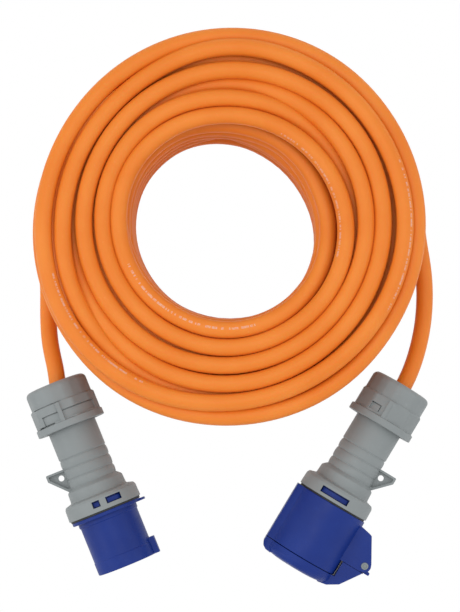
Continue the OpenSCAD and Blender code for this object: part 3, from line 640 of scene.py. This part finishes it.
join_in = np.argmin(np.linalg.norm(lead_in - smooth_coil[3], axis=1))
join_out = np.argmin(np.linalg.norm(lead_out - smooth_coil[-4], axis=1))
path = np.concatenate([lead_in[:join_in], smooth_coil[3:-3], lead_out[join_out + 1:]])
# three more passes even out the places where the pieces meet
for _ in range(3):
    path[1:-1] = path[1:-1] * 0.5 + (path[:-2] + path[2:]) * 0.25


def place_on_cord(own):
    """Length along the cord, in metres, at an angle of the top turns."""
    at_coil = coil[int(round(len(coil) - 1 - (TOP_SPAN + TOP_FIRST - own) / STEP))]
    k = np.argmin(np.linalg.norm(path - at_coil, axis=1))
    return np.linalg.norm(np.diff(path[:k + 1], axis=0), axis=1).sum() * MM


# Where the marked side of the cord faces, as (angle of the top turns, radians): 0 is up, positive is towards the hole
PRINT = [(100, 2.6), (150, 0.1), (260, 0.1), (375, 0.75), (465, 0.75), (560, 2.6),
         (2120, 2.8), (2220, -0.75), (2290, -0.75), (2360, 0.65), (2425, 0.65), (2540, 2.7)]
FIRST_ROW = 165                              # angle of the top turns where the first row of marks starts
print_at = [place_on_cord(own) for own, _ in PRINT]
first_print = place_on_cord(FIRST_ROW)
path *= MM
cord = tube(path, CORD_MM / 2 * MM, 20, "cord", twist=lambda run: np.interp(run, print_at, [v for _, v in PRINT]))
cord.data.materials.append(jacket("polyurethane_orange", first_print))
cord.data.shade_smooth()
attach(cord, "cord")
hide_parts("coil", "plug_tail", "coupler_tail", "plug_sheath", "coupler_sheath")

# ---------------------------------------------------------------- connectors

# Outlines are (radius, distance from the cord's end of the connector) or the same with a fillet, in millimetres.

ACROSS = Matrix.Rotation(math.radians(90), 4, "Y")   # turns a rod's axis to lie across the connector


def nut_shape(r, z, a):
    """Ten flats round the nut's cap and grip ring, with their corners at multiples of 36 degrees."""
    off = a % (math.pi / 5) - math.pi / 10
    cap = np.minimum(1, 22.1 / 22.4 / np.cos(off))
    ring = np.minimum(1, 22.8 / 23.7 / np.cos(off))
    scale = np.where(z < 14.6, cap, np.where(z < 28.2, ring, 1))
    return np.where(r > 20.5, r * scale, r)


def nut(name, place, turn, up, rib, recesses, body):
    """Gland nut. turn sets its flats, up is the side that shows, rib and recesses lie there and opposite."""
    outline = [(8.3, 9.6, 0.6), (9.6, 5.2, 3), (11.8, 0.5, 0.9), (15, 0.6, 2), (22.4, 0.9, 3.6), (22.4, 14.2, 0.2),
               (22.9, 14.4, 0.2), (23.8, 15.3, 0.3), (23.8, 27.8, 0.2), (24.0, 28.25), (24.75, 28.6, 0.3),
               (24.8, 33.4, 0.6), (19.06, 33.4, 0.3), (19.06, 12.8), (10.4, 10.8), (8.3, 10.4)]
    cuts = [moved(sector(r0, 26, a0 + half, a1 + half, z0, z1), turn=up - turn)
            for r0, a0, a1, z0, z1 in recesses for half in (0, 180)]
    ribs = [moved(block(21, 24.1, rib - 1.5, rib + 1.5, 15.0, 31.8), turn=up + half - turn) for half in (0, 180)]
    obj = build(name, lathe(outline, 160, nut_shape), cuts=cuts, later=ribs, bevel=0.22, angle=33)
    obj.data.transform(Matrix.Rotation(math.radians(turn), 4, "Z"))
    put(obj, place, GRAY, body, (name,), "gray_plastic")


# Latch windows: (middle, width) across the connector, where they start, and their length along it
PLUG_WINDOWS, PLUG_WINDOW_Z = [(2.2, 5.6), (-10.6, 10.6)], 88.9
COUPLER_WINDOWS, COUPLER_WINDOW_Z = [(-2.0, 21.4)], 89.8
WINDOW_LONG = 4.7


def housing(name, place, windows, from_z):
    """Gray housing, with its windows on the sides that face up and down."""
    bands = []
    for z0, z1 in ((54.0, 61.0), (61.0, 68.6), (68.6, 74.6)):
        bands += [(16.85, z0, 0.35), (17.4, z0 + 0.9, 0.9), (17.7, (z0 + z1) / 2, 8), (17.4, z1 - 0.9, 0.9)]
    outline = [(18.0, 16.3), (19.0, 17.2, 0.3), (19.0, 30, 0.2), (17.5, 30.8, 0.2), (17.5, 53.1, 0.6)] + bands + [
        (17.2, 74.6, 0.3), (17.7, 74.9, 0.5), (20.5, 77.4, 1.8), (20.9, 83.9, 0.6), (21.2, 84.7, 0.5),
        (25.6, 86.0, 1.0), (26.7, 87.9, 1.4), (27.0, 96.7, 0.5), (24.1, 96.7, 0.2), (24.1, 88.2), (18.2, 88.2),
        (18.2, 80.9), (15.2, 76.9), (15.2, 32.4), (14.0, 31), (14.0, 16.3)]
    # lanyard eye: a three-cornered web between two pockets, with a hole
    low = 59.7
    eye_line = [(16.2, low), (30.3, low, 0.9), (30.3, low + 4.7, 0.9), (18.9, 76.3, 0.6), (16.2, 76.3)]
    pocket = [(14, low + 1.5), (28.7, low + 1.5, 0.5), (28.7, low + 4.0, 0.5), (18.9, low + 14.2), (14, low + 14.2)]
    eye = outward(new_object("eye", prism(eye_line, -3.1, 3.1, "yz")))
    hole = moved(rod(2.1, -6, 6, 40), matrix=Matrix.Translation((0, 20.7, 65.1)) @ ACROSS)
    combine(eye, [prism(pocket, 0.7, 5, "yz"), prism(pocket, -5, -0.7, "yz"), hole], "DIFFERENCE")
    cuts = [rod(15.2, 40, 80, 128)]
    for middle, wide in windows:
        for x0, x1 in ((-29, -12), (12, 29)):
            cuts.append(block(x0, x1, middle - wide / 2, middle + wide / 2, from_z, from_z + WINDOW_LONG))
    obj = build(name, lathe(outline, 128), joins=[solid_of(eye)], cuts=cuts, bevel=0.25)
    put(obj, place, GRAY, "cord", (name,), "gray_plastic")


def latches(windows, from_z):
    """Tongues of the front that show in the housing's windows, 0.8 mm clear of their ends."""
    out, bore = [], 24.7
    for middle, wide in windows:
        a0, a1 = (math.degrees(math.asin((middle + k * (wide / 2 - 0.8)) / bore)) for k in (-1, 1))
        for turn in (0, 180):
            b0, b1 = (a0, a1) if turn == 0 else (180 - a1, 180 - a0)
            out.append(sector(21.6, 24.5, b0, b1, from_z + 1.2, from_z + 4.2))
    return out


def plug_front():
    outline = [(19.5, 88.4), (22.8, 88.4, 0.3), (22.8, 95.6, 0.2), (24.0, 95.6, 0.2), (24.0, 98.0, 0.1),
               (25.6, 98.0, 0.4), (25.6, 100.5, 0.5), (22.0, 100.5, 0.3), (22.0, 103.6, 0.3), (21.35, 104.0, 0.3),
               (21.35, 130.0, 0.1), (21.65, 130.3, 0.1), (21.65, 139.3, 0.6), (19.5, 139.3, 0.5), (19.5, 104.3, 0.4),
               (17.9, 104.3, 0.3), (17.9, 102.4), (19.5, 102.4)]
    ear = prism([(-9.5, -21), (-4, -28.1, 1.6), (0, -29.3, 2), (4, -28.1, 1.6), (9.5, -21)], 98.8, 100.45)
    key = block(-4.5, 4.5, -24.9, -20.6, 127.1, 139.25)
    obj = build("plug_front", lathe(outline, 144), joins=[ear, key] + latches(PLUG_WINDOWS, PLUG_WINDOW_Z), bevel=0.35)
    put(obj, PLUG, BLUE, "cord", ("plug_front",), "blue_plastic")


# The contacts: name, angle round the pin circle, and the pin's diameter
PIN_CIRCLE = 8.75
PINS = (("live", 30, 5.0), ("neutral", 150, 5.0), ("earth", -90, 6.0))


def on_circle(shape, turn):
    """Moves a shape from the axis to its place on the pin circle."""
    return moved(shape, dx=PIN_CIRCLE * math.cos(math.radians(turn)), dy=PIN_CIRCLE * math.sin(math.radians(turn)))


def pins():
    for which, turn, d in PINS:
        r = d / 2
        outline = [(0.0, 78.8), (3.9, 78.8, 0.3), (3.9, 90.8, 0.3), (r + 0.4, 90.8), (r + 0.4, 102.4, 0.15),
                   (r, 102.5, 0.1), (r, 134.7, r * 0.75), (0.0, 134.7)]
        name = "plug_%s_pin" % which
        obj = build(name, on_circle(lathe(outline, 48, closed=False), turn))
        put(obj, PLUG, BRASS, "cord", (name,), "brass")


def disc(name, place, radius, z0, z1, hole, material, slot, edge):
    """A contact carrier or its face: a disc with three holes, the earth's 0.5 mm larger in radius."""
    cuts = [on_circle(rod(hole + (0.5 if which == "earth" else 0), z0 - 1, z1 + 1, 48), turn)
            for which, turn, _ in PINS]
    outline = [(0.0001, z0), (radius, z0, 0.3), (radius, z1, 0.5), (0.0001, z1)]
    obj = build(name, lathe(outline, 96), cuts=cuts, bevel=edge)
    put(obj, place, material, "cord", (name,), slot)


def sockets():
    for which, turn, d in PINS:
        r = d / 2
        outline = [(0.0, 78.8), (3.9, 78.8, 0.3), (3.9, 90.8, 0.3), (r + 2.1, 90.8, 0.2), (r + 2.1, 93.8, 0.2),
                   (r + 1.5, 93.8), (r + 1.5, 134.4, 0.2), (r + 0.05, 134.4, 0.6), (r + 0.05, 97, 0.5), (0.0, 96)]
        name = "coupler_%s_socket" % which
        obj = build(name, on_circle(lathe(outline, 48, closed=False), turn))
        put(obj, COUPLER, BRASS, "cord", (name,), "brass")


HINGE_Y, HINGE_Z, SHELL_END = 42.3, 124.2, 141.0
AT_HINGE = Matrix.Translation((0, HINGE_Y, HINGE_Z)) @ ACROSS
RIDGE = [(-14.4, -20), (-14.2, -22.8), (-13.0, -25.3), (-10.6, -28.1, 0.7),
         (10.6, -28.1, 0.7), (13.0, -25.3), (14.2, -22.8), (14.4, -20)]


def coupler_shell():
    outline = [(18.95, 88.4), (22.8, 88.4, 0.3), (22.8, 95.6, 0.2), (24.0, 95.6, 0.2), (24.0, 98.0, 0.1),
               (27.0, 98.0, 0.6), (27.0, SHELL_END, 0.5), (22.4, SHELL_END, 0.6), (22.4, 100.3, 0.4), (18.95, 100.3)]
    arc = [(HINGE_Y + 4.5 * math.cos(math.radians(a)), HINGE_Z + 4.5 * math.sin(math.radians(a)))
           for a in range(-15, 91, 15)]
    tower = prism([(22, 101.1), (27.3, 101.6, 2), (35.6, 103.3, 1.5), (45.8, 120.8, 2)] + arc
                  + [(HINGE_Y - 2, 129.2, 0.3), (22, 129.2)], -10, 10, "yz")
    keyway = block(-5.2, 5.2, -25.6, -18, 100.3, 150)
    slot = moved(rod(8.9, -7.5, 7.5, 64), matrix=AT_HINGE)               # room for the lid's knuckle
    bore = moved(rod(2.05, -14, 14, 40), matrix=AT_HINGE)
    obj = build("coupler_shell", lathe(outline, 144), joins=[prism(RIDGE, 98.2, SHELL_END - 0.1), tower],
                cuts=[rod(22.4, 100.3, 150, 144), keyway, slot, bore],
                later=latches(COUPLER_WINDOWS, COUPLER_WINDOW_Z), bevel=0.4)
    put(obj, COUPLER, BLUE, "cord", ("coupler_shell",), "blue_plastic")


def lid():
    back = SHELL_END + 0.4                   # the lid stands 0.4 mm off the shell's rim
    cap = lathe([(0.0, back + 3.4), (24.6, back + 3.4, 0.3), (24.6, back, 0.3), (27.0, back, 0.4),
                 (27.0, back + 4.8, 2.2), (25.0, back + 8.0, 3.4), (17, back + 9.3, 9), (0.0, back + 9.85)],
                144, closed=False)
    arm = prism([(27.6, 129.5, 0.3), (43.6, 129.5, 0.6), (33.4, 144.6, 1.5), (25.6, 149.4, 2.0), (19.0, 150.6, 1.0),
                 (14, 147.5), (14, back + 3.5), (24.7, back + 3.5), (24.7, back), (27.6, back)], -10, 10, "yz")
    ridge = new_object("ridge", prism(RIDGE, back, back + 12))
    profile = [(-15, back - 1), (-30, back - 1), (-28.0, back + 4.2, 1.5), (-27.0, back + 6.5, 1.8),
               (-24.3, back + 8.2, 2), (-15, back + 9.2)]
    combine(outward(ridge), [prism(profile, -20, 20, "yz")], "INTERSECT")
    inside = rod(24.6, back - 1, back + 3.4, 96)
    knuckle = moved(rod(4.6, -7.1, 1.2, 48), matrix=AT_HINGE)
    neck = block(-7.1, 1.2, HINGE_Y - 4.6, HINGE_Y + 1.7, HINGE_Z, 130.0)
    tab = prism([(HINGE_Y, HINGE_Z + 2.6), (HINGE_Y + 6.0, HINGE_Z + 2.7, 0.6), (HINGE_Y + 6.0, HINGE_Z + 4.9, 0.6),
                 (HINGE_Y, HINGE_Z + 4.9)], -7.1, 1.2, "yz")
    bore = moved(rod(2.3, -14, 14, 40), matrix=AT_HINGE)
    obj = build("lid", cap, joins=[arm, solid_of(ridge)], cuts=[inside], later=[neck, knuckle, tab], bores=[bore],
                bevel=0.4)
    put(obj, COUPLER, BLUE, "lid", ("lid",), "blue_plastic")


def ring(name, place, outline, sides, body):
    """A rubber ring: a gasket or a seal."""
    put(build(name, lathe(outline, sides)), place, BLACK, body, (name,), "black_rubber")


def small_pieces():
    half = [(0.0, -10.5), (1.3, -10.5, 0.1), (1.5, -10.85, 0.1), (2.2, -10.85, 0.3), (2.6, -10.5, 0.2), (2.6, -10.02),
            (2.0, -10.0)]
    pin = lathe(half + [(p[0], -p[1]) + p[2:] for p in half[::-1]], 48, closed=False)
    put(build("hinge_pin", moved(pin, matrix=AT_HINGE)), COUPLER, RIVET, "cord", ("hinge_pin",), "steel")
    for c, place in (("plug", PLUG), ("coupler", COUPLER)):
        ring(c + "_gasket", place, [(24.2, 96.7), (26.0, 96.7, 0.2), (26.0, 98.0, 0.2), (24.2, 98.0)], 128, "cord")
        ring(c + "_seal", place, [(6.05, 12.0, 0.3), (10.6, 12.4, 0.5), (10.7, 27.4, 0.5), (6.05, 27.4, 0.3)], 64,
             "cord")
    ring("lid_gasket", COUPLER, [(20.4, 141.75, 0.5), (24.4, 141.75, 0.5), (24.4, 144.8), (20.4, 144.8)], 128, "lid")
    # lid spring: three turns round the pin, with a leg on the tower and one on the lid
    r, x0, lead = 2.9, 2.0, 1.6
    turns = [(x0 + lead * t / (2 * math.pi), HINGE_Y + r * math.cos(t), HINGE_Z + r * math.sin(t))
             for t in np.linspace(0, 6 * math.pi, 109)]
    line = [(x0, HINGE_Y + r, HINGE_Z - 3.4)] + turns + [(x0 + 3 * lead, HINGE_Y + r, HINGE_Z + 4.6)]
    put(tube(line, 0.5, 12, "lid_spring", up=(1, 0, 0.001)), COUPLER, STEEL, "cord", ("lid_spring",), "steel")


# Recesses in the nuts: floor radius, from and to angle off the side that shows, from and to length
PLUG_RECESSES = [(22.5, -68, 42, 21.6, 27.2), (21.6, -68, 42.5, 20.9, 21.7), (21.4, -4, 62, 14.1, 14.8),
                 (20.8, 20, 62, 27.3, 28.6)]
COUPLER_RECESSES = [(22.62, 15.6, 34.4, 21.8, 26.6), (21.4, 15.6, 35.0, 21.3, 22.1), (21.4, 15.2, 17.4, 21.3, 26.2)]
nut("plug_nut", PLUG, 13.5, 0, 1.6, PLUG_RECESSES, "plug_gland_nut")
nut("coupler_nut", COUPLER, 0, 180, 1.6, COUPLER_RECESSES, "coupler_gland_nut")
housing("plug_housing", PLUG, PLUG_WINDOWS, PLUG_WINDOW_Z)
housing("coupler_housing", COUPLER, COUPLER_WINDOWS, COUPLER_WINDOW_Z)
plug_front()
pins()
disc("plug_carrier", PLUG, 19.4, 90.8, 102.3, 2.95, DARK, "dark_plastic", 0.2)
coupler_shell()
lid()
disc("coupler_carrier", COUPLER, 18.8, 90.8, 134.5, 4.75, DARK, "dark_plastic", 0.2)
disc("coupler_face", COUPLER, 18.8, 134.5, 138.7, 2.9, DARK, "dark_plastic", 0.4)
sockets()
small_pieces()

# the rest keep the solids' shape and get the real materials
for name, material in (("cage", DARK), ("screws", STEEL), ("clips", STEEL),
                       ("live_core", BROWN), ("neutral_core", SKY), ("earth_core", LIME)):
    for c in ("plug_", "coupler_"):
        node = frame["nodes"].get(c + name)
        if node:
            node.data.materials.clear()
            node.data.materials.append(material)

# ---------------------------------------------------------------- floor and light

def shows_white(tree):
    """1 for the rays that see the background itself: the camera's, and what metal mirrors or glass lets through."""
    rays = add(tree, "ShaderNodeLightPath").outputs
    mirrored = math_node(tree, "MAXIMUM", rays["Is Glossy Ray"], rays["Is Transmission Ray"])
    return math_node(tree, "MAXIMUM", rays["Is Camera Ray"], mirrored)


def pale(name, camera_level, bounce):
    """White where the camera looks, and a soft pale bounce for all other light."""
    mat, tree = start(name)
    look = shows_white(tree)
    white = add(tree, "ShaderNodeEmission", {"Color": (1, 1, 1, 1), "Strength": camera_level})
    matt = add(tree, "ShaderNodeBsdfDiffuse", {"Color": (bounce, bounce, bounce, 1)})
    both = add(tree, "ShaderNodeMixShader")
    tree.links.new(look, both.inputs[0])
    tree.links.new(matt.outputs[0], both.inputs[1])
    tree.links.new(white.outputs[0], both.inputs[2])
    finish_material(tree, both)
    return mat


HALF, LEVEL = 4, -0.0005                     # the floor's half width, and its level just under the cord
floor = new_object("floor", ([(-HALF, -HALF, LEVEL), (HALF, -HALF, LEVEL), (HALF, HALF, LEVEL), (-HALF, HALF, LEVEL)],
                             [(0, 1, 2, 3)]))
floor.data.materials.append(pale("floor_white", 1.0, 0.90))

world = bpy.data.worlds.new("world")
world.use_nodes = True
scene.world = world
wt = world.node_tree
wt.nodes.clear()
seen = add(wt, "ShaderNodeBackground", {"Color": (1, 1, 1, 1), "Strength": 1.0})
soft = add(wt, "ShaderNodeBackground", {"Color": (0.96, 0.98, 1.0, 1), "Strength": 0.83})
world_look = shows_white(wt)
world_mix = add(wt, "ShaderNodeMixShader")
wt.links.new(world_look, world_mix.inputs[0])
wt.links.new(soft.outputs[0], world_mix.inputs[1])
wt.links.new(seen.outputs[0], world_mix.inputs[2])
wt.links.new(world_mix.outputs[0], add(wt, "ShaderNodeOutputWorld").inputs["Surface"])


def area(name, where, aim, size, power):
    """A round lamp of that many metres and watts, aimed at a point."""
    data = bpy.data.lights.new(name, "AREA")
    data.shape, data.size, data.energy = "DISK", size, power
    lamp = bpy.data.objects.new(name, data)
    scene.collection.objects.link(lamp)
    lamp.location = where
    toward = Matrix.Translation(aim).translation - lamp.location
    lamp.rotation_euler = toward.to_track_quat("-Z", "Y").to_euler()


area("top", (-0.1, 0.30, 1.7), (0, 0.12, 0), 1.0, 5.0)
area("left", (-1.3, -0.1, 0.9), (0, 0.08, 0), 0.8, 4.6)
area("right", (1.3, 0.0, 0.9), (0, 0.08, 0), 0.8, 2.6)

scene.view_settings.view_transform = "Standard"
